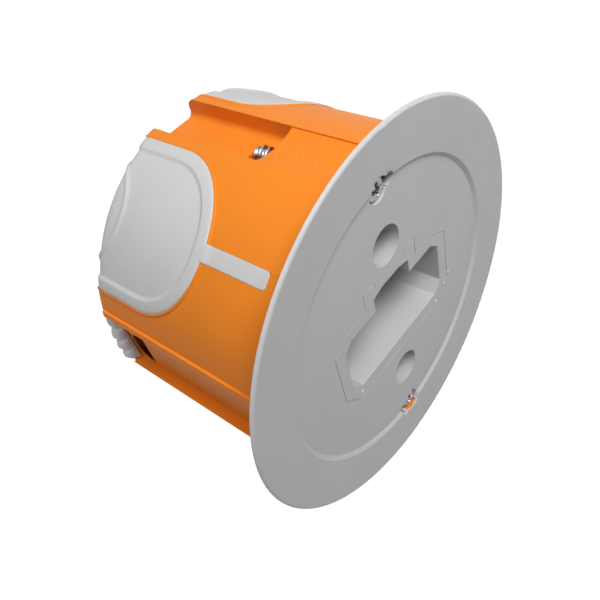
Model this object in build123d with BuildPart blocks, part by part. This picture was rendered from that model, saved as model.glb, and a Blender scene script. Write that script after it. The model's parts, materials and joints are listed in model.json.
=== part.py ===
"""Round flush mounting box for hollow walls, with a luminaire outlet cover.

Millimetres. The box's axis is Y, from the front (-Y) into the wall (+Y). X is the long direction
of the socket opening, Z the line of the two cover screws. The origin is on the axis, in the plane
where the cover's rim rests on the wall's face.
"""
import os

from build123d import *

# Housing
box_r = 34.0                # outer radius, for a 68 mm hole
box_depth = 49.0            # wall face to the back of the box
box_edge_r = 2.2            # rounding of the back edge
box_wall = 1.6              # wall and back plate
flange_w = 3.2              # thin flange that lies on the wall
flange_r = box_r + flange_w
flange_t = 0.4

# Cover screws and the channels that their tips reach into
screw_half_pitch = 30.0     # half of the 60 mm between the two cover screws
screw_r = 1.5
screw_fit = 0.05            # radial running clearance of every screw
head_r = 2.3
head_t = 1.9
recess_len = 2.6            # cross recess in each head
cover_screw_len = 24.7      # under the head
boss_r = 3.5
boss_front = 1.7            # face that the screw's head sits on
boss_back = 21.0            # the channel starts here
channel_half_w = 5.2
channel_floor = 29.6        # height of the channel's flat floor over the axis
channel_foot_r = 1.3        # rounding along the foot of the channel's walls
valley_front = 2.5          # shallow valley over each screw boss
valley_floor = 32.3
valley_r = 14.7
trough_r = 1.7              # round relief along the screw's tip
trough_len = 6.4
channel_skin = 1.5          # wall under the trough and beside the channel

# Claw channels, at the left and right
claw_chan_half_w = 7.65
claw_floor = 31.4           # distance of the channel's flat floor from the axis
claw_chan_front = 3.1
rail_w = 1.25               # raised rail along each edge of a claw channel
rail_h = 0.5
slot_w = 2.4                # slot that the claw's arm runs in
port_front = 38.8           # small window in the floor ahead of the claw
port_len = 4.0
port_low = -4.6
port_high = 3.2
port_corner = 2.8           # rounding towards the claw

# Claws and their screws
claw_screw_x = 27.2
claw_screw_z = 5.7
claw_len = 6.0
claw_gap = 0.3              # clearance of a claw in its channel
claw_top_r = 33.8           # radius of the face that carries the teeth
tooth_r = 0.85
tooth_pitch = 2.7
tooth_count = 5
claw_round = 1.2
nut_size = 4.6
claw_travel = 33.0          # grips walls from 11 mm thick
slot_front = box_depth - claw_len - claw_gap - claw_travel
lug_front = 3.7             # the claw screw's head sits here
lug_t = 3.3
lug_half = 2.8

# Soft cable-entry membranes
large_angle = 129.6         # measured about the axis, from +X towards +Z
large_half_w = 15.4
large_front = 20.4
large_corner = 15.2
small_angle = 50.4
small_half_w = 14.8
small_front = 27.5
small_corner = 10.0
membrane_proud = 0.35       # rim over the box's surface
membrane_rim = 2.9
membrane_sink = 0.1         # panel inside the rim, below the box's surface
membrane_back_reach = 18.0  # distance from the axis where it ends on the back
membrane_back_corner = 11.5
membrane_edge_r = 3.4       # rounding of the soft plastic at the back edge
lip_w = 0.4                 # orange lip along each window
lip_h = 0.15
tongue_half_w = 1.65
tongue_front = 6.0
tongue_corner = 0.8
tongue_sink = 0.8
knockout_r = 11.0
knockout_w = 1.3
knockout_y = 53.3           # centre, past the back edge, as if unfolded
knockout_h = 0.25

# Cover
relief_gap = 0.8            # room for the box's flange behind the ring
rim_land = 1.7              # what rests on the wall around the flange
rim_taper = 1.3             # the rim tapers towards the wall
rim_round = 0.7             # width of the rounding along its front
relief_r = flange_r + relief_gap
rim_back_r = relief_r + rim_land
cover_r = rim_back_r + rim_taper
rim_front_r = cover_r - rim_round
rim_y = -0.75               # plane of the rim's largest circle
rim_front = -1.35           # front of the ring along its rounded edge
ring_in_y = -0.8            # the ring is slightly dished
recess_y = -0.2             # the sunken floor
pan_t = 1.4
pan_gap = 0.5               # between the pan's side and the inside of the box
pan_side = 1.7
recess_slope = 0.8          # width of the slope down to the floor
pan_r = box_r - box_wall - pan_gap
recess_foot_r = pan_r - pan_side
recess_r = recess_foot_r + recess_slope
keyhole_r = 2.5
keyhole_neck_r = 1.4
keyhole_shift = 2.5         # from the wide part to the neck, along X and outwards
keyhole_rise = 0.4
hook_z = 17.8               # the two round holes
hook_r = 4.0
sleeve_t = 1.0
sleeve_back = 13.0

# Socket outlet: half outline of the keyed opening, from the key down to the foot
key_top_half_w = 2.55
key_top = 10.1
key_half_w = 5.6
key_side_top = 9.3
mouth_shoulder = 6.2
mouth_shoulder_half_w = 13.2
mouth_half_w = 15.6
mouth_side_top = 4.2
mouth_side_low = -5.3
mouth_foot_half_w = 13.2
mouth_low = -7.7
mouth_depth = 16.0

# Half outline of the body's face around it, with an ear on each side of the key
face_top = 11.9
ear_in = 4.6
ear_top = 12.9
ear_out = 8.3
face_shoulder = 9.0
face_shoulder_half_w = 12.9
face_half_w = 18.35
face_side_top = 6.1
face_side_low = -7.0
face_foot_half_w = 14.5
face_low = -10.6
socket_gap = 0.12           # fine joint line between body and cover
socket_back = 21.0
seat_w = 1.8                # flange that holds the body behind the cover
seat_t = 1.4
cap_wall = 1.4
cap_depth = 9.5

# Contacts and terminals
contact_pitch = 11.0
contact_z = -0.8
terminal = 6.6
terminal_gap = 0.3
leaf_t = 0.6
leaf_w = 4.6
leaf_gap = 1.4
aperture_w = 5.4
aperture_h = 1.8
aperture_t = 1.2
wire_r = 1.7
terminal_screw_len = 4.6
terminal_screw_lift = 0.1   # under the head, so that it isn't clamped
access_gap = 0.4

AXIS_LIMIT = 60.0           # any length past the model's ends
OUT = 6.0                   # any distance past the box's surface
ROOT = 0.5                  # how far a feature is let into the wall that carries it


def outward(angle):
    """Direction away from the axis, at an angle from +X towards +Z."""
    return Vector(1, 0, 0).rotate(Axis.Y, -angle)


def across(depth, angle=0.0):
    """Plane across the axis, seen from the front, with its local x at an angle about the axis."""
    return Plane(origin=(0, depth, 0), x_dir=outward(angle), z_dir=(0, -1, 0))


def facing(angle, distance):
    """Plane that faces outwards at an angle about the axis; its local y runs into the wall."""
    normal = outward(angle)
    return Plane(origin=normal * distance, x_dir=normal.cross(Vector(0, -1, 0)), z_dir=normal)


def can(grow, edge_r=box_edge_r):
    """Solid of revolution of the box's outside, grown by an offset."""
    with BuildPart() as body:
        with BuildSketch(Plane.XY) as half:
            with Locations(((box_r + grow) / 2, (box_depth + grow) / 2)):
                Rectangle(box_r + grow, box_depth + grow)
            fillet(half.vertices().sort_by(Axis.X)[-2:].sort_by(Axis.Y)[-1], edge_r + grow)
        revolve(axis=Axis.Y)
    return body.part


def entry_region(angle, half_w, front, corner, inset=0.0):
    """Prism of a membrane's outline, through the side and the back of the box."""
    width = 2 * (half_w - inset)
    with BuildPart() as region:
        with BuildSketch(facing(angle, box_r + OUT)) as outline:
            with Locations((0, (front + inset + AXIS_LIMIT) / 2)):
                Rectangle(width, AXIS_LIMIT - front - inset)
            fillet(outline.vertices().sort_by(Axis.Y)[:2], corner - inset)
        extrude(amount=-(box_r + OUT - membrane_back_reach - inset))
        with BuildSketch(across(0, angle)) as end:
            reach = membrane_back_reach + inset
            with Locations(((reach + AXIS_LIMIT) / 2, 0)):
                Rectangle(AXIS_LIMIT - reach, width)
            fillet(end.vertices().sort_by(Axis.X)[:2], membrane_back_corner - inset)
        extrude(amount=-AXIS_LIMIT, mode=Mode.INTERSECT)
    return region.part


def tongue_region(angle, front):
    """Prism of the strip of soft plastic that runs from a membrane towards the cover."""
    with BuildPart() as strip:
        with BuildSketch(facing(angle, box_r + OUT)) as outline:
            with Locations((0, (tongue_front + front + membrane_rim) / 2)):
                Rectangle(2 * tongue_half_w, front + membrane_rim - tongue_front)
            fillet(outline.vertices().sort_by(Axis.Y)[:2], tongue_corner)
        extrude(amount=-2 * OUT)
    return strip.part


def knockout_ring(angle):
    """Round knock-out bead that starts on the side and folds over onto the back."""
    fold = knockout_y - box_depth
    bead_in = knockout_r - knockout_w
    with BuildPart() as bead:
        with BuildSketch(facing(angle, box_r - OUT / 2)):
            with Locations((0, knockout_y)):
                Circle(knockout_r)
                Circle(bead_in, mode=Mode.SUBTRACT)
            with Locations((0, box_depth + AXIS_LIMIT / 2)):
                Rectangle(AXIS_LIMIT, AXIS_LIMIT, mode=Mode.SUBTRACT)
        extrude(amount=OUT)
        with BuildSketch(across(box_depth - box_wall, angle)):
            with Locations((box_r - fold, 0)):
                Circle(knockout_r)
                Circle(bead_in, mode=Mode.SUBTRACT)
        extrude(amount=-2 * box_wall)
    return bead.part


outside = can(0)
cavity = can(-box_wall)
rim_skin = can(membrane_proud, membrane_edge_r) - cavity
panel_cut = can(2 * membrane_proud) - can(-membrane_sink, membrane_edge_r)
bead_skin = can(knockout_h, membrane_edge_r) - can(-2 * membrane_sink, membrane_edge_r)
lip_skin = can(lip_h) - can(-box_wall / 2)
tongue_skin = outside - can(-tongue_sink)

entries = {
    "upper_left": (large_angle, large_half_w, large_front, large_corner),
    "upper_right": (small_angle, small_half_w, small_front, small_corner),
    "lower_right": (large_angle + 180, large_half_w, large_front, large_corner),
    "lower_left": (small_angle + 180, small_half_w, small_front, small_corner),
}
with_tongue = ("upper_left", "lower_right")

# Housing: one moulding, with bosses, channels and windows
with BuildPart() as housing:
    add(outside)
    with BuildSketch(across(-flange_t)):
        Circle(flange_r)
    extrude(amount=-flange_t)
    add(cavity, mode=Mode.SUBTRACT)
    with BuildSketch(across(-flange_t)):
        Circle(box_r - box_wall)
    extrude(amount=-2 * flange_t, mode=Mode.SUBTRACT)

    for side in (1, -1):
        # Screw boss, then the solid that the channel behind it is cut from
        with BuildSketch(across(boss_front)):
            with Locations((0, side * screw_half_pitch)):
                Circle(boss_r)
        extrude(amount=-(boss_back - boss_front))
        block_low = screw_half_pitch - trough_r - channel_skin
        block_top = box_r - box_wall
        with BuildSketch(across(boss_back - channel_skin)):
            with Locations((0, side * (block_low + block_top) / 2)):
                Rectangle(2 * (channel_half_w + channel_skin), block_top - block_low)
        extrude(amount=-(box_depth - box_wall / 2 - boss_back + channel_skin))

        # Flat floor of the claw channel, the lug of the claw screw, and the rails
        floor_in = claw_floor - box_wall
        floor_front = claw_chan_front - box_wall
        with BuildSketch(across(floor_front)):
            with Locations((side * (floor_in + claw_floor + ROOT) / 2, 0)):
                Rectangle(claw_floor + ROOT - floor_in, 2 * (claw_chan_half_w + box_wall))
        extrude(amount=-(box_depth - box_wall / 2 - floor_front))
        lug_in = claw_screw_x - lug_half
        with BuildSketch(across(lug_front)):
            with Locations((side * (lug_in + floor_in + ROOT) / 2, -side * claw_screw_z)):
                Rectangle(floor_in + ROOT - lug_in, 2 * lug_half)
        extrude(amount=-lug_t)

with BuildPart() as rails:
    with BuildSketch(across(claw_chan_front)):
        for side in (1, -1):
            for edge in (1, -1):
                with Locations((side * box_r, edge * (claw_chan_half_w + rail_w / 2))):
                    Rectangle(OUT, rail_w)
    extrude(amount=-(box_depth - box_edge_r - claw_chan_front))
    add(can(rail_h) - can(-box_wall / 2), mode=Mode.INTERSECT)

with BuildPart() as screw_channels:
    # Behind each screw boss, open at the back, with rounded feet
    with BuildSketch(across(boss_back)):
        for side in (1, -1):
            with Locations((0, side * (channel_floor + OUT))):
                Rectangle(2 * channel_half_w, 2 * OUT)
    extrude(amount=-(AXIS_LIMIT - boss_back))
    feet = screw_channels.edges().filter_by(lambda e: abs(abs(e.center().Z) - channel_floor) < 0.01)
    fillet(feet.filter_by(lambda e: e.center().Y < AXIS_LIMIT - 1), channel_foot_r)

with BuildPart() as channels:
    for side in (1, -1):
        # Valley over the screw boss, then the trough for the screw's tip
        with BuildSketch(across(valley_front)):
            with Locations((0, side * (valley_floor + valley_r))):
                Circle(valley_r)
            with Locations((0, side * box_r)):
                Rectangle(2 * channel_half_w, 2 * OUT, mode=Mode.INTERSECT)
        extrude(amount=-(AXIS_LIMIT - valley_front))
        with BuildSketch(across(boss_back)):
            with Locations((0, side * screw_half_pitch)):
                Circle(trough_r)
        extrude(amount=-trough_len)
        # Claw channel with its slot, its port and the way in through the back plate
        with BuildSketch(across(claw_chan_front)):
            with Locations((side * (claw_floor + OUT), 0)):
                Rectangle(2 * OUT, 2 * claw_chan_half_w)
        extrude(amount=-(AXIS_LIMIT - claw_chan_front))
        with BuildSketch(across(slot_front)):
            with Locations((side * claw_floor, -side * claw_screw_z)):
                Rectangle(3 * box_wall, slot_w)
        extrude(amount=-(AXIS_LIMIT - slot_front))
        port_plane = Plane(origin=(side * (claw_floor - OUT / 2), 0, 0), x_dir=(0, 0, -side),
                           z_dir=(side, 0, 0))
        with BuildSketch(port_plane) as port:
            with Locations(((port_low + port_high) / 2, side * (port_front + port_len / 2))):
                Rectangle(port_high - port_low, port_len)
            fillet(port.vertices().sort_by(Axis.Y)[-2:], port_corner)
        extrude(amount=OUT)
        nut_reach = claw_floor - claw_screw_x + nut_size / 2 + claw_gap
        with BuildSketch(across(box_depth - 2 * box_wall)):
            with Locations((side * claw_screw_x, -side * claw_screw_z)):
                Rectangle(nut_size + 2 * claw_gap, nut_size + 2 * claw_gap)
            with Locations((side * (claw_floor + ROOT - nut_reach / 2), -side * claw_screw_z)):
                Rectangle(nut_reach, slot_w)
        extrude(amount=-3 * box_wall)
        # Screw holes
        with BuildSketch(across(0)):
            with Locations((0, side * screw_half_pitch)):
                Circle(screw_r + screw_fit)
            with Locations((side * claw_screw_x, -side * claw_screw_z)):
                Circle(screw_r + screw_fit)
        extrude(amount=-(boss_back + ROOT))

with BuildPart() as finished_housing:
    add(housing.part)
    add(rails.part)
    for angle, half_w, front, corner in entries.values():
        add(entry_region(angle, half_w, front, corner, -lip_w) & lip_skin)
    add(screw_channels.part, mode=Mode.SUBTRACT)
    add(channels.part, mode=Mode.SUBTRACT)
    for angle, half_w, front, corner in entries.values():
        add(entry_region(angle, half_w, front, corner), mode=Mode.SUBTRACT)
    for name in with_tongue:
        angle, half_w, front, corner = entries[name]
        add(tongue_region(angle, front) & tongue_skin, mode=Mode.SUBTRACT)
finished_housing.part.label = "housing"

# Membranes: a rim, a panel, the tongue and the bead of the knock-out
membranes = []
for name, (angle, half_w, front, corner) in entries.items():
    with BuildPart() as membrane:
        add(entry_region(angle, half_w, front, corner) & rim_skin)
        panel = entry_region(angle, half_w, front, corner, membrane_rim) & panel_cut
        add(panel, mode=Mode.SUBTRACT)
        if name in with_tongue:
            add(tongue_region(angle, front) & tongue_skin)
        add(knockout_ring(angle) & bead_skin)
    membrane.part.label = "entry_membrane_" + name
    membranes.append(membrane.part)

# Cover: a turned form with a sunken centre, sleeves, keyholes and the socket's opening
with BuildPart() as cover:
    with BuildSketch(Plane.XY):
        with BuildLine():
            Polyline(
                (0, recess_y), (recess_foot_r, recess_y), (recess_r, ring_in_y),
                (rim_front_r, rim_front))
            RadiusArc((rim_front_r, rim_front), (cover_r, rim_y), rim_front - rim_y)
            Polyline(
                (cover_r, rim_y), (rim_back_r, 0), (relief_r, 0), (relief_r, -flange_t),
                (pan_r, -flange_t), (pan_r, recess_y + pan_t), (0, recess_y + pan_t), (0, recess_y))
        make_face()
    revolve(axis=Axis.Y)
    with BuildSketch(across(recess_y)):
        with Locations((0, hook_z), (0, -hook_z)):
            Circle(hook_r + sleeve_t)
    extrude(amount=-(sleeve_back - recess_y))
    with BuildSketch(across(rim_front)):
        with Locations((0, hook_z), (0, -hook_z)):
            Circle(hook_r)
        for side in (1, -1):
            wide = Vector(0, side * screw_half_pitch)
            neck = wide + Vector(side * keyhole_shift, side * keyhole_rise)
            with Locations(wide):
                Circle(keyhole_r)
            with Locations(neck):
                Circle(keyhole_neck_r)
            with Locations((wide + neck) / 2):
                Rectangle(keyhole_shift, 2 * keyhole_neck_r)
    extrude(amount=-AXIS_LIMIT, mode=Mode.SUBTRACT)


def mirrored(half):
    """Whole outline from the points of its half on the +X side."""
    return half + [(-x, z) for x, z in reversed(half)]


mouth_outline = mirrored([
    (key_top_half_w, key_top), (key_half_w, key_side_top), (key_half_w, mouth_shoulder),
    (mouth_shoulder_half_w, mouth_shoulder), (mouth_half_w, mouth_side_top),
    (mouth_half_w, mouth_side_low), (mouth_foot_half_w, mouth_low)])
face_outline = mirrored([
    (ear_in, face_top), (ear_in, ear_top), (ear_out, ear_top), (ear_out, face_shoulder),
    (face_shoulder_half_w, face_shoulder), (face_half_w, face_side_top),
    (face_half_w, face_side_low), (face_foot_half_w, face_low)])

with BuildPart() as socket_window:
    with BuildSketch(across(rim_front)):
        Polygon(*face_outline, align=None)
    extrude(amount=-AXIS_LIMIT)

with BuildPart() as finished_cover:
    add(cover.part)
    add(socket_window.part, mode=Mode.SUBTRACT)
finished_cover.part.label = "cover"

# Socket body: keyed cavity, seat behind the cover, apertures and pockets for the contacts
contact_x = (-contact_pitch, 0.0, contact_pitch)
with BuildPart() as socket_body:
    with BuildSketch(across(recess_y)):
        Polygon(*face_outline, align=None)
        offset(amount=-socket_gap, kind=Kind.INTERSECTION)
    extrude(amount=-(socket_back - recess_y))
    with BuildSketch(across(recess_y + pan_t)):
        Polygon(*face_outline, align=None)
        offset(amount=seat_w, kind=Kind.INTERSECTION)
        with Locations((0, hook_z), (0, -hook_z)):
            Circle(hook_r + sleeve_t + terminal_gap, mode=Mode.SUBTRACT)
    extrude(amount=-seat_t)
    with BuildSketch(across(recess_y)):
        Polygon(*mouth_outline, align=None)
    extrude(amount=-(mouth_depth - recess_y), mode=Mode.SUBTRACT)
    with BuildSketch(across(mouth_depth)):
        with Locations(*[(x, contact_z) for x in contact_x]):
            Rectangle(aperture_w, aperture_h)
    extrude(amount=-AXIS_LIMIT, mode=Mode.SUBTRACT)
    with BuildSketch(across(mouth_depth + aperture_t)):
        with Locations(*[(x, contact_z) for x in contact_x]):
            Rectangle(leaf_w + 2 * terminal_gap, leaf_gap + 2 * leaf_t + 2 * terminal_gap)
    extrude(amount=-AXIS_LIMIT, mode=Mode.SUBTRACT)
socket_body.part.label = "socket_body"

# Cap behind the socket body, with a cell for each terminal
cell = terminal + 2 * terminal_gap
cap_half_w = contact_pitch + cell / 2 + cap_wall
cap_low = contact_z - cell / 2 - cap_wall
cap_high = contact_z + cell / 2 + cap_wall
screw_hole_r = head_r + access_gap
with BuildPart() as socket_cap:
    with BuildSketch(across(socket_back)) as cap_face:
        with Locations((0, (cap_low + cap_high) / 2)):
            Rectangle(2 * cap_half_w, cap_high - cap_low)
        fillet(cap_face.vertices(), cap_wall)
    extrude(amount=-cap_depth)
    chamfer(socket_cap.faces().sort_by(Axis.Y)[-1].edges(), cap_wall / 2)
    with BuildSketch(across(socket_back)):
        with Locations(*[(x, contact_z) for x in contact_x]):
            Rectangle(cell, cell)
    extrude(amount=-(cap_depth - cap_wall), mode=Mode.SUBTRACT)
    with BuildSketch(across(socket_back)):
        with Locations(*[(x, contact_z) for x in contact_x]):
            Circle(screw_hole_r)
    extrude(amount=-cap_depth, mode=Mode.SUBTRACT)
    wire_y = socket_back + terminal / 2 - ROOT
    with BuildSketch(Plane(origin=(0, wire_y, cap_low), x_dir=(1, 0, 0), z_dir=(0, 0, 1))):
        with Locations(*[(x, 0) for x in contact_x]):
            Circle(wire_r + terminal_gap)
    extrude(amount=cap_wall * 2, mode=Mode.SUBTRACT)
socket_cap.part.label = "socket_cap"

# Contacts: two spring leaves and a terminal block with a wire hole and a screw hole
contacts = []
block_back = socket_back + terminal
for name, x in zip(("line", "earth", "neutral"), contact_x):
    with BuildPart() as contact:
        with BuildSketch(across(socket_back)) as block_face:
            with Locations((x, contact_z)):
                Rectangle(terminal, terminal)
        extrude(amount=-terminal)
        with BuildSketch(across(socket_back)):
            for side in (1, -1):
                with Locations((x, contact_z + side * (leaf_gap + leaf_t) / 2)):
                    Rectangle(leaf_w, leaf_t)
        extrude(amount=socket_back - mouth_depth - aperture_t)
        hole_top = contact_z + wire_r
        with BuildSketch(Plane(origin=(0, wire_y, hole_top), x_dir=(1, 0, 0), z_dir=(0, 0, -1))):
            with Locations((x, 0)):
                Circle(wire_r)
        extrude(amount=2 * terminal, mode=Mode.SUBTRACT)
        with BuildSketch(across(wire_y)):
            with Locations((x, contact_z)):
                Circle(screw_r + screw_fit)
        extrude(amount=-terminal, mode=Mode.SUBTRACT)
    contact.part.label = "contact_" + name
    contacts.append(contact.part)


def screw(label, x, z, head_face, length, toward_back):
    """Pan-head screw along Y with a cross recess; head_face is the face under its head."""
    sign = 1 if toward_back else -1
    plane = Plane(origin=(x, head_face, z), x_dir=(1, 0, 0), z_dir=(0, -sign, 0))
    with BuildPart() as body:
        with BuildSketch(plane):
            Circle(head_r)
        extrude(amount=head_t)
        chamfer(body.edges().sort_by(Axis.Y, reverse=sign < 0)[0], head_t / 3)
        with BuildSketch(plane):
            Circle(screw_r)
        extrude(amount=-length)
        tip = body.edges().sort_by(Axis.Y, reverse=sign > 0)[0]
        chamfer(tip, screw_r / 3)
        with BuildSketch(plane.offset(head_t)):
            Rectangle(recess_len, recess_len / 4)
            Rectangle(recess_len / 4, recess_len)
        extrude(amount=-head_t / 2, mode=Mode.SUBTRACT)
    body.part.label = label
    return body.part


screws = [
    screw("cover_screw_top", 0, screw_half_pitch, boss_front, cover_screw_len, True),
    screw("cover_screw_bottom", 0, -screw_half_pitch, boss_front, cover_screw_len, True)]
for name, x in zip(("line", "earth", "neutral"), contact_x):
    screws.append(screw("terminal_screw_" + name, x, contact_z,
                        block_back + terminal_screw_lift,
                        terminal_screw_len, False))

# Claws and claw screws; the right-hand ones are the left-hand ones turned half round
claws = []
claw_screw_end = box_depth - box_wall / 2
for name, side in (("left", -1), ("right", 1)):
    screws.append(screw("claw_screw_" + name, side * claw_screw_x, -side * claw_screw_z, lug_front,
                        claw_screw_end - lug_front, True))
    with BuildPart() as claw:
        half_w = claw_chan_half_w - claw_gap
        with BuildSketch(across(box_depth - claw_len)) as face:
            Circle(claw_top_r)
            with Locations((side * (claw_floor + claw_gap + OUT), 0)):
                Rectangle(2 * OUT, 2 * half_w, mode=Mode.INTERSECT)
        extrude(amount=-claw_len)
        fillet(claw.edges().filter_by(Axis.Y).sort_by(lambda e: abs(e.center().X))[-2:], claw_round)
        first = -(tooth_count - 1) / 2 * tooth_pitch
        with BuildSketch(across(box_depth - claw_len)):
            for index in range(tooth_count):
                z = first + index * tooth_pitch
                x = side * (claw_top_r ** 2 - z ** 2) ** 0.5
                with Locations((x, z)):
                    Circle(tooth_r)
        extrude(amount=-claw_len)
        arm_w = slot_w - 2 * claw_gap
        arm_in = claw_screw_x
        with BuildSketch(across(box_depth - claw_len)):
            with Locations((side * (arm_in + claw_floor + 2 * ROOT) / 2, -side * claw_screw_z)):
                Rectangle(claw_floor + 2 * ROOT - arm_in, arm_w)
            with Locations((side * claw_screw_x, -side * claw_screw_z)):
                Rectangle(nut_size, nut_size)
        extrude(amount=-(claw_len - claw_gap))
        with BuildSketch(across(0)):
            with Locations((side * claw_screw_x, -side * claw_screw_z)):
                Circle(screw_r + screw_fit)
        extrude(amount=-AXIS_LIMIT, mode=Mode.SUBTRACT)
    claw.part.label = "claw_" + name
    claws.append(claw.part)

os.makedirs("parts", exist_ok=True)
pieces = [finished_housing.part, *membranes, finished_cover.part, socket_body.part,
          socket_cap.part, *contacts, *screws, *claws]
for piece in pieces:
    export_step(piece, "parts/" + piece.label + ".step")
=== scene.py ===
"""Looks of the round flush mounting box and its luminaire outlet cover, in metres."""
import json
import math

import bmesh
import bpy
from mathutils import Matrix, Vector


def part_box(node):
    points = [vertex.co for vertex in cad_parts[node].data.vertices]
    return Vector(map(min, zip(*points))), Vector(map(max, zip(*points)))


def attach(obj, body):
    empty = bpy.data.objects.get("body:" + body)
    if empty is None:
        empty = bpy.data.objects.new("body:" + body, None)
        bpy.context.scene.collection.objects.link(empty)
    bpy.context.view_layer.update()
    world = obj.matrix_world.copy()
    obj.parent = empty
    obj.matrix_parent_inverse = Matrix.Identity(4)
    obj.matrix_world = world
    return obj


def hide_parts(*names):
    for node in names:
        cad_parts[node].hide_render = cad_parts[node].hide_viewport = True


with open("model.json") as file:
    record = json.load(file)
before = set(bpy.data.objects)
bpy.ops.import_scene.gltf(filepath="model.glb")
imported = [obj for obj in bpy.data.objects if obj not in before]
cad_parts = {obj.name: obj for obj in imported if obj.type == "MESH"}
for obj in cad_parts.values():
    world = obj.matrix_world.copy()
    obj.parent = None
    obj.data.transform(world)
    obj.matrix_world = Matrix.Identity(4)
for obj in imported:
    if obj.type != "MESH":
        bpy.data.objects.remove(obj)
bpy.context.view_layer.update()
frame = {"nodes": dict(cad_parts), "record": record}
nodes = frame["nodes"]

MM = 0.001

# Camera of the photograph, in the row frame
CAMERA_PLACE = (-0.06227, -0.05154, 0.09290)
CAMERA_RIGHT = (0.61243, -0.76178, -0.21122)
CAMERA_UP = (0.66264, 0.34900, 0.66264)
CAMERA_LENS = 37.95
CAMERA_SHIFT = (0.0008, 0.0008)
CAMERA_SENSOR = 36
CAMERA_CLIP = (0.005, 20)

# Floor, world, a lamp near the box and a soft sky
FLOOR_Z = -0.22
FLOOR_HALF = 3.0
FLOOR_SHADE = 0.40
FLOOR_ROUGH = 0.9
FLOOR_GLOW = 0.86              # for camera and glossy rays only
WORLD_LEVEL = 0.17             # for diffuse rays; camera, glossy and transmission rays see white
KEY_PLACE = (0.0, -0.14, 0.29)
KEY_AIM = (0.03, 0.0, 0.05)
KEY_SIZE = 0.16
KEY_SPREAD = math.radians(90)
KEY_POWER = 0.228
SKY_FROM = (-0.50, -0.05, 0.86)
SKY_STRENGTH = 0.68
SKY_ANGLE = math.radians(50)


# Materials

def new_material(name):
    material = bpy.data.materials.new(name)
    material.use_nodes = True
    tree = material.node_tree
    return material, tree, tree.nodes["Principled BSDF"]


def add_node(tree, kind, **values):
    node = tree.nodes.new(kind)
    for key, value in values.items():
        if key in node.inputs:
            node.inputs[key].default_value = value
        else:
            setattr(node, key, value)
    return node


def noise(tree, scale, detail=3.0, stretch=(1, 1, 1)):
    """Noise over the object's own coordinates; scale is in features per metre."""
    place = add_node(tree, "ShaderNodeTexCoord")
    mapping = add_node(tree, "ShaderNodeMapping")
    mapping.inputs["Scale"].default_value = stretch
    field = add_node(tree, "ShaderNodeTexNoise", Scale=scale, Detail=detail)
    tree.links.new(place.outputs["Object"], mapping.inputs["Vector"])
    tree.links.new(mapping.outputs["Vector"], field.inputs["Vector"])
    return field.outputs["Fac"]


def ramp(tree, source, stops):
    node = add_node(tree, "ShaderNodeValToRGB")
    elements = node.color_ramp.elements
    while len(elements) < len(stops):
        elements.new(0.5)
    for element, (place, color) in zip(elements, stops):
        element.position = place
        element.color = (*color, 1.0)
    tree.links.new(source, node.inputs["Fac"])
    return node.outputs["Color"]


def spread(tree, source, low, high):
    node = add_node(tree, "ShaderNodeMapRange")
    node.inputs["To Min"].default_value = low
    node.inputs["To Max"].default_value = high
    tree.links.new(source, node.inputs["Value"])
    return node.outputs["Result"]


def shade(color, factor):
    return tuple(c * factor for c in color)


# Features per metre, and heights in metres
CLOUD_SCALE = 70
WAVE_SCALE = 110
WAVE_HEIGHT = 0.00012
STAIN_SCALE = 900
SCRATCH_HEIGHT = 0.00003
SCRATCH_STRETCH = (1, 0.08, 1)


def plastic(name, color, rough, grain, grain_height, cloud, specular=0.45, sheen=0.0):
    """Moulded plastic: faint clouding, a fine grain in its surface and a slow waviness."""
    material, tree, shader = new_material(name)
    clouds = noise(tree, CLOUD_SCALE, 4.0)
    tint = ramp(tree, clouds, ((0.3, shade(color, 1 - cloud)), (0.7, shade(color, 1 + cloud / 2))))
    tree.links.new(tint, shader.inputs["Base Color"])
    fine = noise(tree, grain, 6.0)
    tree.links.new(spread(tree, fine, rough - 0.07, rough + 0.07), shader.inputs["Roughness"])
    shader.inputs["Specular IOR Level"].default_value = specular
    shader.inputs["Sheen Weight"].default_value = sheen
    slow = add_node(tree, "ShaderNodeBump", Strength=0.25, Distance=WAVE_HEIGHT)
    tree.links.new(noise(tree, WAVE_SCALE, 1.0), slow.inputs["Height"])
    bump = add_node(tree, "ShaderNodeBump", Strength=0.35, Distance=grain_height)
    tree.links.new(fine, bump.inputs["Height"])
    tree.links.new(slow.outputs["Normal"], bump.inputs["Normal"])
    tree.links.new(bump.outputs["Normal"], shader.inputs["Normal"])
    return material


def metal(name, color, rough, grain):
    """Plated or bare metal with fine scratches and a little tarnish."""
    material, tree, shader = new_material(name)
    shader.inputs["Metallic"].default_value = 1.0
    stain = noise(tree, STAIN_SCALE, 5.0)
    tint = ramp(tree, stain, ((0.35, shade(color, 0.78)), (0.65, color)))
    tree.links.new(tint, shader.inputs["Base Color"])
    lines = noise(tree, grain, 4.0, SCRATCH_STRETCH)
    tree.links.new(spread(tree, lines, rough - 0.06, rough + 0.1), shader.inputs["Roughness"])
    bump = add_node(tree, "ShaderNodeBump", Strength=0.2, Distance=SCRATCH_HEIGHT)
    tree.links.new(lines, bump.inputs["Height"])
    tree.links.new(bump.outputs["Normal"], shader.inputs["Normal"])
    return material


ORANGE = (0.88, 0.252, 0.022)
SOFT_GREY = (0.61, 0.61, 0.61)
COVER_GREY = (0.58, 0.58, 0.58)
CLAW_GREY = (0.70, 0.70, 0.70)
# Plated zinc's grey, darkened below its own colour: painted shade for the dark surroundings that
# the screw heads reflect in the keyholes
ZINC_WITH_PAINTED_SHADE = (0.38, 0.38, 0.41)
BRASS = (0.80, 0.58, 0.25)

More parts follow.
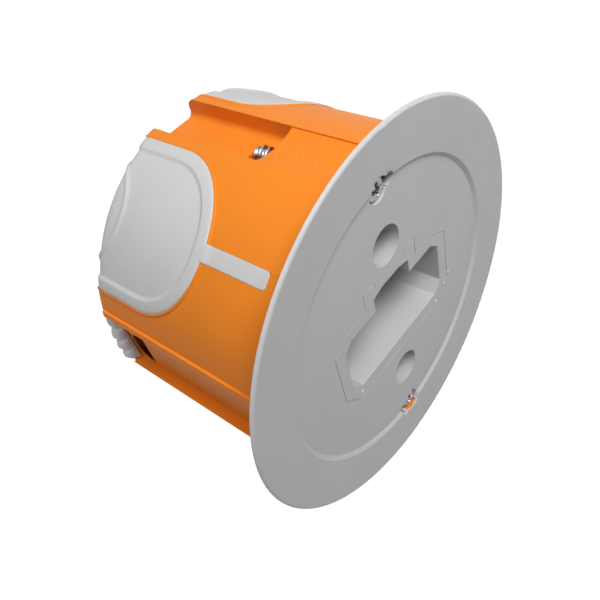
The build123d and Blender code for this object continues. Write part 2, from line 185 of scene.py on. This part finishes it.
# Colour, roughness, grain, its height, clouding, specular level and sheen
orange_plastic = plastic("orange_plastic", ORANGE, 0.45, 2600, 0.00001, 0.05, 0.12)
soft_plastic = plastic("soft_plastic", SOFT_GREY, 0.55, 1800, 0.00002, 0.04, 0.35, 0.05)
cover_plastic = plastic("cover_plastic", COVER_GREY, 0.46, 3200, 0.00002, 0.03, 0.3)
claw_plastic = plastic("claw_plastic", CLAW_GREY, 0.38, 2200, 0.00001, 0.05)
# The screws' zinc finish is real zinc grey with painted shade in it, darker than plated zinc itself
zinc_steel = metal("zinc_steel", ZINC_WITH_PAINTED_SHADE, 0.26, 5000)
brass = metal("brass", BRASS, 0.28, 5000)

finishes = {
    "orange_plastic": orange_plastic, "soft_plastic": soft_plastic,
    "cover_plastic": cover_plastic, "socket_plastic": cover_plastic,
    "cap_plastic": cover_plastic, "claw_plastic": claw_plastic,
    "zinc_steel": zinc_steel, "brass": brass}

# The CAD nodes keep their shape and get the finishes of their slots
for part in frame["record"]["subparts"]:
    node = nodes[part["node"]]
    node.data.materials.clear()
    node.data.materials.append(finishes[part["material_slot"]])


# Mesh helpers; points are in millimetres here, and the objects in metres

def add_object(name, data):
    made = bpy.data.objects.new(name, data)
    bpy.context.scene.collection.objects.link(made)
    return made


def smooth(x):
    x = min(max(x, 0.0), 1.0)
    return x * x * (3 - 2 * x)


def bulge(x):
    """Quarter round that rises from 0 at x = 0 to 1 at x = 1."""
    x = min(max(x, 0.0), 1.0)
    return math.sqrt(1 - (1 - x) ** 2)


def sheet(points, faces, rows, wrap=False):
    """Adds a grid of points with quads between them, and returns the index of each point."""
    first = len(points)
    width = len(rows[0])
    for row in rows:
        points.extend(row)
    last = width if wrap else width - 1
    for i in range(len(rows) - 1):
        for j in range(last):
            a, b = first + i * width + j, first + i * width + (j + 1) % width
            faces.append((a, b, b + width, a + width))
    return [[first + i * width + j for j in range(width)] for i in range(len(rows))]


def border(grid):
    """Loop of indices around a grid."""
    left = [row[0] for row in grid[1:-1]]
    right = [row[-1] for row in grid[1:-1]]
    return grid[0] + right + grid[-1][::-1] + left[::-1]


def join_loops(faces, one, other):
    for i in range(len(one)):
        j = (i + 1) % len(one)
        faces.append((one[i], one[j], other[j], other[i]))


def closed_sheets(outer, inner):
    """Points and faces of a solid between two grids of the same size."""
    points, faces = [], []
    top = sheet(points, faces, outer)
    low = sheet(points, faces, inner)
    join_loops(faces, border(top), border(low))
    return points, faces


def capped_rings(rows):
    """Points and faces of a solid along rings, closed over the first and the last one."""
    points, faces = [], []
    grid = sheet(points, faces, rows, wrap=True)
    faces += [tuple(grid[0]), tuple(grid[-1])]
    return points, faces


def solid_mesh(name, points, faces):
    """Mesh in metres with its faces turned outwards."""
    mesh = bpy.data.meshes.new(name)
    mesh.from_pydata([Vector(p) * MM for p in points], [], faces)
    turned = bmesh.new()
    turned.from_mesh(mesh)
    bmesh.ops.recalc_face_normals(turned, faces=turned.faces)
    turned.to_mesh(mesh)
    turned.free()
    return mesh


def piece(name, points, faces, body, slot, stands_for=(), sharp=40):
    """Object in the row frame that rides on a body and may stand for CAD nodes."""
    mesh = solid_mesh(name, points, faces)
    mesh.shade_smooth()
    mesh.set_sharp_from_angle(angle=math.radians(sharp))
    mesh.materials.append(finishes[slot])
    made = add_object(name, mesh)
    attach(made, body)
    if stands_for:
        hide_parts(*stands_for)


def eased(count, ease):
    """Numbers from -1 to 1 that lie closer together near both ends."""
    steps = [2 * i / count - 1 for i in range(count + 1)]
    return [(1 - ease) * x + ease * math.sin(x * math.pi / 2) for x in steps]


# Soft membranes: a rounded rim, a panel, the bead of the knock-out, and a tongue on two of them.
# t is the place across a membrane. q runs along the box's side and over its edge into the back.

BOX_R = 34.0
BOX_DEPTH = 49.0
EDGE_R = 3.4
SIDE_END = BOX_DEPTH - EDGE_R
FOLD = EDGE_R * math.pi / 2
INSIDE = -1.55
RIM_H = 0.31
RIM_FOOT_H = 0.04
RIM_ROUND = 0.6
CROWN_H = 0.03
CROWN_FROM = 0.3
CROWN_W = 2.3
FALL_FROM = 2.15
FALL_W = 0.85
PANEL_H = -0.10
BACK_REACH = 18.0
BACK_CORNER = 11.5
BEAD_R = 10.35
BEAD_W = 0.8
BEAD_H = 0.34
BEAD_Y = 53.3                  # middle of the bead's ring, as if unfolded
TONGUE_HALF_W = 1.63
TONGUE_FRONT = 6.05
TONGUE_CORNER = 0.8
TONGUE_OVERLAP = 0.9           # how far it reaches under the membrane's rim
TONGUE_H = 0.02
TONGUE_RISE = 0.30             # its end climbs to the rim's height
TONGUE_RISE_LEN = 1.7
TONGUE_ROUND = 0.3
TONGUE_ROUND_H = 0.12
TONGUE_INSIDE = -0.75

# Steps of the grids, and how much closer they lie near both ends
MEMBRANE_ACROSS, MEMBRANE_ALONG = (124, 0.6), (164, 0.35)
TONGUE_ACROSS, TONGUE_ALONG = (24, 0.7), (60, 0.6)

# Angle round the box, half width, front end, corner radius there, and whether there is a tongue
ENTRIES = {
    "upper_left": (129.6, 15.4, 20.4, 15.2, True),
    "upper_right": (50.4, 14.8, 27.5, 10.0, False),
    "lower_right": (309.6, 15.4, 20.4, 15.2, True),
    "lower_left": (230.4, 14.8, 27.5, 10.0, False)}


def skin(angle, t, q, lift):
    """Point t across and q along the box's side, its rounded back edge and its back."""
    turn = (q - SIDE_END) / EDGE_R
    if turn <= 0:
        radius, depth, out, back = BOX_R, q, 1.0, 0.0
    elif turn < math.pi / 2:
        out, back = math.cos(turn), math.sin(turn)
        radius, depth = BOX_R - EDGE_R + EDGE_R * out, SIDE_END + EDGE_R * back
    else:
        reach = math.sqrt((BOX_R - EDGE_R) ** 2 - t * t) - (q - SIDE_END - FOLD)
        radius, depth, out, back = math.hypot(reach, t), BOX_DEPTH, 0.0, 1.0
    around = math.radians(angle) + math.asin(t / radius)
    grown = radius + lift * out
    return (grown * math.cos(around), depth + lift * back, grown * math.sin(around))


def unfolded(t, q):
    """How far a point lies from the axis along the membrane, and its depth as if unfolded."""
    turn = (q - SIDE_END) / EDGE_R
    if turn <= 0:
        return math.sqrt(BOX_R ** 2 - t * t), q
    if turn < math.pi / 2:
        radius = BOX_R - EDGE_R + EDGE_R * math.cos(turn)
        return math.sqrt(radius ** 2 - t * t), SIDE_END + 2 * EDGE_R * turn / (math.pi / 2)
    reach = math.sqrt((BOX_R - EDGE_R) ** 2 - t * t) - (q - SIDE_END - FOLD)
    return reach, BOX_DEPTH + BOX_R - reach


def inside_end(t, along, half_w, corner):
    """Distance inward from the outline of a strip with a rounded end."""
    if along < corner and abs(t) > half_w - corner:
        return corner - math.hypot(abs(t) - half_w + corner, corner - along)
    return min(half_w - abs(t), along)


def rim_profile(inward):
    """Height of the rim over the box's surface, from its edge inward."""
    rise = RIM_FOOT_H + (RIM_H - RIM_FOOT_H) * bulge(inward / RIM_ROUND)
    crown = CROWN_H * math.sin(math.pi * min(max((inward - CROWN_FROM) / CROWN_W, 0), 1))
    fall = (RIM_H - PANEL_H) * smooth((inward - FALL_FROM) / FALL_W)
    return rise + crown - fall


def end_shift(t, half_w, corner):
    """How far the rounded end has drawn back at t."""
    over = max(abs(t) - half_w + corner, 0.0)
    return corner - math.sqrt(max(corner ** 2 - over ** 2, 0.0))


def membrane_rows(angle, half_w, front, corner):
    """Grids of a membrane's outer and inner face."""
    outer, inner = [], []
    for x in eased(*MEMBRANE_ACROSS):
        t = half_w * x
        start = front + end_shift(t, half_w, corner)
        reach = math.sqrt((BOX_R - EDGE_R) ** 2 - t * t)
        end = SIDE_END + FOLD + reach - BACK_REACH - end_shift(t, half_w, BACK_CORNER)
        top, low = [], []
        for y in eased(*MEMBRANE_ALONG):
            q = start + (end - start) * (y + 1) / 2
            away, depth = unfolded(t, q)
            inward = min(inside_end(t, q - front, half_w, corner),
                         inside_end(t, away - BACK_REACH, half_w, BACK_CORNER))
            ring = abs(math.hypot(t, depth - BEAD_Y) - BEAD_R)
            bead = PANEL_H + BEAD_H * (1 - smooth(ring / BEAD_W))
            top.append(skin(angle, t, q, max(rim_profile(inward), bead)))
            low.append(skin(angle, t, q, INSIDE))
        outer.append(top)
        inner.append(low)
    return outer, inner


def tongue_rows(angle, front):
    """Grids of the outer and inner face of the tongue in front of a membrane."""
    outer, inner = [], []
    end = front + TONGUE_OVERLAP
    for x in eased(*TONGUE_ACROSS):
        t = TONGUE_HALF_W * x
        start = TONGUE_FRONT + end_shift(t, TONGUE_HALF_W, TONGUE_CORNER)
        top, low = [], []
        for y in eased(*TONGUE_ALONG):
            q = start + (end - start) * (y + 1) / 2
            inward = inside_end(t, q - TONGUE_FRONT, TONGUE_HALF_W, TONGUE_CORNER)
            rise = TONGUE_RISE * smooth((q - front + TONGUE_RISE_LEN) / TONGUE_RISE_LEN)
            fall = TONGUE_ROUND_H * (1 - bulge(inward / TONGUE_ROUND))
            top.append(skin(angle, t, q, TONGUE_H + rise - fall))
            low.append(skin(angle, t, q, TONGUE_INSIDE))
        outer.append(top)
        inner.append(low)
    return outer, inner


# The housing's raised lips round a membrane. One runs along each side, and both end at LIP_GAP
# from the middle of the front, where the tongue starts.

LIP_W = 0.55
LIP_H = 0.26
LIP_GAP = 1.75
LIP_REACH = 0.97               # share of the back edge's round that a lip follows
LIP_BACK_STEPS = 14
LIP_SIDE_STEPS = 12
LIP_TURN_STEPS = 60
LIP_PROFILE = ((0.0, -1.2), (0.0, 0.7), (0.15, 0.95), (0.4, 1.0), (0.7, 0.75), (0.9, 0.35),
               (1.0, -0.1), (1.0, -1.2))      # shares of LIP_W and LIP_H


def lip_rows(angle, half_w, front, corner, side):
    """Rings of the lip along one side of a membrane and round its front."""
    turn_start = front + corner
    path = [(half_w, SIDE_END + FOLD * LIP_REACH * (1 - i / LIP_BACK_STEPS), 1.0, 0.0)
            for i in range(LIP_BACK_STEPS)]
    path += [(half_w, turn_start + (SIDE_END - front - corner) * (1 - i / LIP_SIDE_STEPS), 1.0, 0.0)
             for i in range(LIP_SIDE_STEPS)]
    for i in range(LIP_TURN_STEPS + 1):
        turn = math.radians(90 / LIP_TURN_STEPS * i)
        across, along = math.cos(turn), -math.sin(turn)
        t = half_w - corner + corner * across
        if t > LIP_GAP:
            path.append((t, turn_start + corner * along, across, along))
    return [[skin(angle, side * (t + across * LIP_W * w), q + along * LIP_W * w, LIP_H * h)
             for w, h in LIP_PROFILE] for t, q, across, along in path]


def make_membranes():
    for name, (angle, half_w, front, corner, tongue) in ENTRIES.items():
        node = "entry_membrane_" + name
        points, faces = closed_sheets(*membrane_rows(angle, half_w, front, corner))
        piece("soft_" + node, points, faces, "box", "soft_plastic", (node,))
        for side, end in ((1, "a"), (-1, "b")):
            points, faces = capped_rings(lip_rows(angle, half_w, front, corner, side))
            piece("entry_lip_%s_%s" % (name, end), points, faces, "box", "orange_plastic")
        if tongue:
            points, faces = closed_sheets(*tongue_rows(angle, front))
            piece("soft_tongue_" + name, points, faces, "box", "soft_plastic")


# Screws: a pan head with a cross recess and a shank with a right-handed thread

SCREW_AROUND = 48
HEAD_T = 1.9
HEAD_RINGS = 28
HEAD_TOP = 0.97                # share of the head's radius that the dome takes
DOME_H = 0.55
DOME_POWER = 2.6
HEAD_SIDE = (0.75, 1.2)        # depths of the rings round the head's side
HEAD_EDGE = 0.12
NECK = 0.97                    # share of the crest's radius where the shank leaves the head
RECESS_LEN = 1.35
RECESS_HALF_W = 0.38
RECESS_DEEP = 1.15
RECESS_END_FALL = 0.35
RECESS_SIDE_FALL = 0.14
THREAD_STEPS = 14              # rings in one turn
THREAD_FROM = 0.6
THREAD_RISE = 0.8
TOOTH_HALF = 0.36              # in turns
TIP_LEN = 1.5
TIP_TAPER = 0.55

# Pitch, crest radius and root radius
COVER_THREAD = (1.45, 1.85, 1.2)
CLAW_THREAD = (1.25, 1.5, 1.15)
TERMINAL_THREAD = (0.7, 1.5, 1.2)


def cross_recess(x, z):
    """Share of the recess's depth at a point of the head."""
    x, z = abs(x), abs(z)
    arms = [smooth((RECESS_LEN - a) / RECESS_END_FALL)
            * smooth((RECESS_HALF_W - b) / RECESS_SIDE_FALL) for a, b in ((x, z), (z, x))]
    return max(arms)


def screw_rows(centre, head_top, tip, head_r, pitch, crest, root):
    """Rings from the middle of the head to the tip."""
    sign = 1 if tip > head_top else -1
    length = abs(tip - head_top) - HEAD_T
    angles = [2 * math.pi * i / SCREW_AROUND for i in range(SCREW_AROUND)]

    def ring(radii, depths):
        return [(centre[0] + r * math.sin(a), head_top + sign * d, centre[1] + r * math.cos(a))
                for a, r, d in zip(angles, radii, depths)]

    rows = []
    for i in range(1, HEAD_RINGS + 1):
        r = head_r * HEAD_TOP * i / HEAD_RINGS
        dome = DOME_H * (r / head_r) ** DOME_POWER
        deep = [dome + RECESS_DEEP * cross_recess(r * math.sin(a), r * math.cos(a)) for a in angles]
        rows.append(ring([r] * SCREW_AROUND, deep))
    side = [(head_r, d) for d in (*HEAD_SIDE, HEAD_T - HEAD_EDGE)]
    for r, d in (*side, (head_r - HEAD_EDGE, HEAD_T), (crest * NECK, HEAD_T)):
        rows.append(ring([r] * SCREW_AROUND, [d] * SCREW_AROUND))
    steps = int(length / pitch * THREAD_STEPS)
    for i in range(1, steps + 1):
        y = length * i / steps
        cut = smooth((y - THREAD_FROM) / THREAD_RISE)
        taper = 1 - TIP_TAPER * smooth((y - length + TIP_LEN) / TIP_LEN)
        radii = []
        for a in angles:
            phase = (sign * y / pitch - a / (2 * math.pi)) % 1.0
            tooth = smooth(1 - abs(phase - 0.5) / TOOTH_HALF)
            radii.append((root + (crest - root) * (1 - cut + cut * tooth)) * taper)
        rows.append(ring(radii, [HEAD_T + y] * SCREW_AROUND))
    return rows


def make_screw(node, thread, toward_back=True):
    """Screw in the place of its CAD node; its body has the node's name."""
    low, high = (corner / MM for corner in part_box(node))
    centre = ((low.x + high.x) / 2, (low.z + high.z) / 2)
    head_top, tip = (low.y, high.y) if toward_back else (high.y, low.y)
    rows = screw_rows(centre, head_top, tip, (high.x - low.x) / 2, *thread)
    points, faces = capped_rings(rows)
    piece("threaded_" + node, points, faces, node, "zinc_steel", (node,), 50)


def make_screws():
    for end in ("top", "bottom"):
        make_screw("cover_screw_" + end, COVER_THREAD)
    for side in ("left", "right"):
        make_screw("claw_screw_" + side, CLAW_THREAD)
    for name in ("line", "earth", "neutral"):
        make_screw("terminal_screw_" + name, TERMINAL_THREAD, False)


# Claws: a wide smooth rib and three narrow ones, and the arm with the nut behind them

CLAW_STEPS_ACROSS, CLAW_STEPS_ALONG = (120, 0.3), (40, 0.5)
CLAW_IN = 31.7
CLAW_TOP_R = 33.5
CLAW_HALF_W = 7.35
CLAW_FRONT = 46.1
CLAW_LEN = 2.9
CLAW_SIDE_ROUND = 0.45
CLAW_END_ROUND = 1.1
CLAW_SINK = 0.25
CLAW_FALL = 0.9                # how much lower its front is than its back
CLAW_LEAN = 0.8                # how much its two long ends rise and sink
CLAW_MIN_H = 0.05
RIB_H = 1.2
RIB_W = 3.3
WIDE_RIB_W = 4.8


def rib(across):
    """Height of the ribs at a place across the claw; the wide one is at the low end."""
    if across < -CLAW_HALF_W + WIDE_RIB_W:
        middle, half = -CLAW_HALF_W + WIDE_RIB_W / 2, WIDE_RIB_W / 2
    else:
        index = math.floor((across + CLAW_HALF_W - WIDE_RIB_W) / RIB_W)
        middle, half = -CLAW_HALF_W + WIDE_RIB_W + (index + 0.5) * RIB_W, RIB_W / 2
    return RIB_H * math.sqrt(max(1 - ((across - middle) / half) ** 2, 0.0))


def claw_rows(side):
    """Grids of a claw's outer and inner face."""
    outer, inner = [], []
    for x in eased(*CLAW_STEPS_ACROSS):
        across = CLAW_HALF_W * x
        edge = bulge((CLAW_HALF_W - abs(across)) / CLAW_SIDE_ROUND)
        base = math.sqrt(CLAW_TOP_R ** 2 - across ** 2)
        top, low = [], []
        for y in eased(*CLAW_STEPS_ALONG):
            along = CLAW_LEN * (y + 1) / 2
            end = bulge(min(along, CLAW_LEN - along) / CLAW_END_ROUND)
            fall = CLAW_FALL * (1 - along / CLAW_LEN) + CLAW_SINK - CLAW_LEAN * x
            height = (base - CLAW_IN - fall) * edge
            height = height * (0.5 + 0.5 * end) + rib(across) * end * edge
            spot = (CLAW_FRONT + along, side * across)
            top.append((side * (CLAW_IN + max(height, CLAW_MIN_H)), *spot))
            low.append((side * CLAW_IN, *spot))
        outer.append(top)
        inner.append(low)
    return outer, inner


def make_claws():
    for side, name in ((-1, "claw_left"), (1, "claw_right")):
        points, faces = closed_sheets(*claw_rows(side))
        piece("ribbed_" + name, points, faces, name, "claw_plastic", (name,), 60)


def rounded_block(name, low, high, edge, body, slot):
    """Block with rounded edges between two corners."""
    made = bmesh.new()
    bmesh.ops.create_cube(made, size=1.0)
    middle, size = [(a + b) / 2 for a, b in zip(low, high)], [b - a for a, b in zip(low, high)]
    for v in made.verts:
        v.co = Vector([m + s * c for m, s, c in zip(middle, size, v.co)])
    bmesh.ops.bevel(made, geom=made.edges[:], offset=edge, segments=3, affect="EDGES", profile=0.5)
    points = [tuple(v.co) for v in made.verts]
    faces = [tuple(v.index for v in f.verts) for f in made.faces]
    made.free()
    piece(name, points, faces, body, slot)


CLAW_SCREW_Z = 5.7
CLAW_BACK = BOX_DEPTH - 0.3
NUT_FRONT = 43.0
NUT_BORE = 1.56
NUT_HALF = 2.3
NUT_OUT = 29.5                 # where its outer face lies
NUT_AROUND = 64
NUT_CORNER = ((0.35, 0.0), (0.1, 0.1), (0.0, 0.35))      # inward and along, to its full size
ROUND, SQUARE = 2, 9           # powers of a loop's outline
ARM_OUT = 31.9
ARM_OVERLAP = 0.4
ARM_HALF_W = 0.9
ARM_EDGE = 0.25


def nut_rows(centre, front, back):
    """Loops round a square nut with rounded edges, from its bore's front end to the back one."""
    turns = [2 * math.pi * i / NUT_AROUND for i in range(NUT_AROUND)]

    def loop(size, y, power):
        lean = [(abs(math.cos(a)) ** power + abs(math.sin(a)) ** power) ** (-1 / power)
                for a in turns]
        return [(centre[0] + size * r * math.cos(a), y, centre[1] + size * r * math.sin(a))
                for a, r in zip(turns, lean)]

    rows = [loop(NUT_BORE, front, ROUND)]
    rows += [loop(NUT_HALF - inward, front + along, SQUARE) for inward, along in NUT_CORNER]
    rows += [loop(NUT_HALF - inward, back - along, SQUARE) for inward, along in NUT_CORNER[::-1]]
    return rows + [loop(NUT_BORE, back, ROUND)]


def make_claw_nuts():
    """The arm behind each claw and the square nut that its screw draws."""
    for side, name in ((-1, "left"), (1, "right")):
        z = -side * CLAW_SCREW_Z
        body = "claw_" + name
        points, faces = [], []
        rows = nut_rows((side * (NUT_OUT - NUT_HALF), z), NUT_FRONT, CLAW_BACK)
        grid = sheet(points, faces, rows, wrap=True)
        join_loops(faces, grid[0], grid[-1])
        piece("claw_nut_" + name, points, faces, body, "claw_plastic")
        ends = sorted((side * (NUT_OUT - ARM_OVERLAP), side * ARM_OUT))
        rounded_block("claw_arm_" + name, (ends[0], CLAW_FRONT, z - ARM_HALF_W),
                      (ends[1], CLAW_BACK, z + ARM_HALF_W), ARM_EDGE, body, "claw_plastic")


# Small round marks in the front, beside the ends of the outlet

MARKS = ((13.4, -10.0), (-13.7, -9.1), (18.8, -6.0), (16.8, -7.5))
MARK_R = 0.42
MARK_AROUND = 20
MARK_PROFILE = ((0.15, 0.02), (0.45, 0.02), (0.62, 0.13), (0.78, 0.16), (0.93, 0.10), (1.0, 0.0),
                (1.0, -0.1), (0.15, -0.1))    # share of MARK_R, and height over the face
FACE_Y = -0.2


def make_marks():
    turns = [2 * math.pi * i / MARK_AROUND for i in range(MARK_AROUND)]
    for number, (x, z) in enumerate(MARKS, 1):
        rows = [[(x + MARK_R * share * math.cos(a), FACE_Y - height,
                  z + MARK_R * share * math.sin(a)) for a in turns]
                for share, height in MARK_PROFILE]
        points, faces = capped_rings(rows)
        piece("mould_mark_%d" % number, points, faces, "box", "cover_plastic")


# Ridges that the screw's thread has pressed up in the valley over each boss. They lie on a strip
# that follows the valley's round floor.

VALLEY_FLOOR = 32.3
VALLEY_R = 14.7
STRIP_STEPS_ACROSS, STRIP_STEPS_ALONG = (40, 0.0), (120, 0.0)
STRIP_MIDDLE = 15.6
STRIP_HALF_LEN = 5.3
STRIP_HALF_W = 1.2
STRIP_SHIFT = 0.3
STRIP_SINK = 0.03
STRIP_UNDER = 0.2
STRIP_END = 0.08               # share of its half length in which a ridge fades out
RIDGES = (11.7, 14.5, 17.4, 20.3)
RIDGE_W = 0.42
RIDGE_H = 0.24
RIDGE_SLANT = 0.25
RIDGE_POWER = 0.7


def strip_rows(side):
    """Grids of the upper and lower face of a strip of ridges."""
    outer, inner = [], []
    for x in eased(*STRIP_STEPS_ACROSS):
        t = STRIP_HALF_W * x - STRIP_SHIFT
        floor = VALLEY_FLOOR + VALLEY_R - math.sqrt(VALLEY_R ** 2 - t * t)
        across = max(1 - x * x, 0.0)
        top, low = [], []
        for y in eased(*STRIP_STEPS_ALONG):
            q = STRIP_MIDDLE + STRIP_HALF_LEN * y
            wave = max(math.exp(-((q - place - RIDGE_SLANT * x) / RIDGE_W) ** 2)
                       for place in RIDGES)
            end = smooth((1 - abs(y)) / STRIP_END)
            height = -STRIP_SINK + (RIDGE_H * wave * across ** RIDGE_POWER) * end
            top.append((side * t, q, side * (floor + height)))
            low.append((side * t, q, side * (floor - STRIP_UNDER)))
        outer.append(top)
        inner.append(low)
    return outer, inner


def make_thread_marks():
    for side, name in ((1, "top"), (-1, "bottom")):
        points, faces = closed_sheets(*strip_rows(side))
        piece("thread_marks_" + name, points, faces, "box", "orange_plastic")


# Sharp edges of the rigid pieces are rounded a little; the CAD nodes keep their mesh

WELD_REACH = 0.000002
HOUSING_EDGE = 0.22
COVER_EDGE = 0.10
SOCKET_EDGE = 0.12
CAP_EDGE = 0.3
EDGE_LIMIT = 35
COVER_EDGE_LIMIT = 30


def soften(shape, width, limit=EDGE_LIMIT):
    weld = shape.modifiers.new("weld", "WELD")
    weld.merge_threshold = WELD_REACH
    bevel = shape.modifiers.new("edges", "BEVEL")
    bevel.width = width * MM
    bevel.segments = 2
    bevel.limit_method = "ANGLE"
    bevel.angle_limit = math.radians(limit)
    even = shape.modifiers.new("even", "WEIGHTED_NORMAL")
    even.keep_sharp = True


# The housing: a copy that has the port in the left claw channel too, which its CAD solid lacks.
# Each cutter is given by its reach along X, Y and Z: the port, and the well behind it that lets it
# look dark.

PORT = ((-34.0, -31.05), (41.2, 45.6), (-7.4, 1.0))
PORT_WELL = ((-31.1, -27.0), (41.0, 47.2), (-10.6, 1.4))
PORT_CORNER = 2.8
PORT_CORNER_STEPS = 10


def port_cutter(depths, along, across):
    """Prism through the floor of the claw channel, with two rounded corners towards the claw."""
    (front, back), (low, high) = along, across
    outline = [(front, low), (front, high)]
    arc = [math.radians(90 * i / PORT_CORNER_STEPS) for i in range(PORT_CORNER_STEPS + 1)]
    for z, turn in ((high - PORT_CORNER, 1), (low + PORT_CORNER, -1)):
        bend = [(back - PORT_CORNER + PORT_CORNER * math.sin(a),
                 z + turn * PORT_CORNER * math.cos(a)) for a in arc]
        outline += bend if turn > 0 else bend[::-1]
    count = len(outline)
    points = [(x, y, z) for x in depths for y, z in outline]
    faces = [tuple(range(count)), tuple(range(count, 2 * count))]
    join_loops(faces, range(count), range(count, 2 * count))
    return add_object("cutter", solid_mesh("cutter", points, faces))


def make_housing():
    made = add_object("moulded_housing", nodes["housing"].data.copy())
    soften(made, HOUSING_EDGE)
    cutters = [port_cutter(*reach) for reach in (PORT, PORT_WELL)]
    for cutter in cutters:
        port = made.modifiers.new("port", "BOOLEAN")
        port.operation = "DIFFERENCE"
        port.solver = "EXACT"
        port.object = cutter
    shown = made.evaluated_get(bpy.context.evaluated_depsgraph_get())
    mesh = bpy.data.meshes.new_from_object(shown)
    made.modifiers.clear()
    made.data = mesh
    for cutter in cutters:
        bpy.data.objects.remove(cutter)
    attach(made, "box")
    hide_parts("housing")


# Floor, world, lights and camera

def seen_by(tree, *rays):
    """1 for the named kinds of ray and 0 for the others."""
    path = add_node(tree, "ShaderNodeLightPath")
    seen = path.outputs[rays[0]]
    for ray in rays[1:]:
        either = add_node(tree, "ShaderNodeMath", operation="MAXIMUM")
        tree.links.new(seen, either.inputs[0])
        tree.links.new(path.outputs[ray], either.inputs[1])
        seen = either.outputs[0]
    return seen


def make_floor():
    mesh = bpy.data.meshes.new("floor")
    corners = [(x * FLOOR_HALF, y * FLOOR_HALF, FLOOR_Z)
               for x, y in ((-1, -1), (1, -1), (1, 1), (-1, 1))]
    mesh.from_pydata(corners, [], [(0, 1, 2, 3)])
    floor = add_object("floor", mesh)
    material, tree, shader = new_material("floor_white")
    shader.inputs["Base Color"].default_value = (FLOOR_SHADE, FLOOR_SHADE, FLOOR_SHADE, 1)
    shader.inputs["Roughness"].default_value = FLOOR_ROUGH
    shader.inputs["Emission Color"].default_value = (1, 1, 1, 1)
    glow = spread(tree, seen_by(tree, "Is Camera Ray", "Is Glossy Ray"), 0.0, FLOOR_GLOW)
    tree.links.new(glow, shader.inputs["Emission Strength"])
    mesh.materials.append(material)


def make_world():
    world = bpy.data.worlds.new("studio")
    bpy.context.scene.world = world
    world.use_nodes = True
    tree = world.node_tree
    background = tree.nodes["Background"]
    background.inputs["Color"].default_value = (1, 1, 1, 1)
    seen = seen_by(tree, "Is Camera Ray", "Is Glossy Ray", "Is Transmission Ray")
    tree.links.new(spread(tree, seen, WORLD_LEVEL, 1.0), background.inputs["Strength"])


def add_lamp(lamp, toward):
    """Lamp that shines from the direction toward."""
    made = add_object(lamp.name, lamp)
    made.rotation_mode = "QUATERNION"
    made.rotation_quaternion = toward.to_track_quat("Z", "Y")
    return made


def make_key():
    lamp = bpy.data.lights.new("key", "AREA")
    lamp.shape = "DISK"
    lamp.size = KEY_SIZE
    lamp.spread = KEY_SPREAD
    lamp.energy = KEY_POWER
    key = add_lamp(lamp, Vector(KEY_PLACE) - Vector(KEY_AIM))
    key.location = KEY_PLACE


def make_sky():
    lamp = bpy.data.lights.new("sky", "SUN")
    lamp.energy = SKY_STRENGTH
    lamp.angle = SKY_ANGLE
    add_lamp(lamp, Vector(SKY_FROM))


def make_camera():
    right, up = Vector(CAMERA_RIGHT).normalized(), Vector(CAMERA_UP).normalized()
    back = right.cross(up)
    camera = add_object("camera", bpy.data.cameras.new("camera"))
    turn = Matrix((right, up, back)).transposed().to_4x4()
    camera.matrix_world = Matrix.Translation(CAMERA_PLACE) @ turn
    camera.data.sensor_width = CAMERA_SENSOR
    camera.data.lens = CAMERA_LENS
    camera.data.shift_x, camera.data.shift_y = CAMERA_SHIFT
    camera.data.clip_start, camera.data.clip_end = CAMERA_CLIP
    bpy.context.scene.camera = camera


make_membranes()
make_screws()
make_claws()
make_claw_nuts()
make_marks()
make_thread_marks()
make_housing()
soften(nodes["cover"], COVER_EDGE, COVER_EDGE_LIMIT)
soften(nodes["socket_body"], SOCKET_EDGE)
soften(nodes["socket_cap"], CAP_EDGE)
make_floor()
make_world()
make_key()
make_sky()
make_camera()
bpy.context.scene.view_settings.view_transform = "Standard"
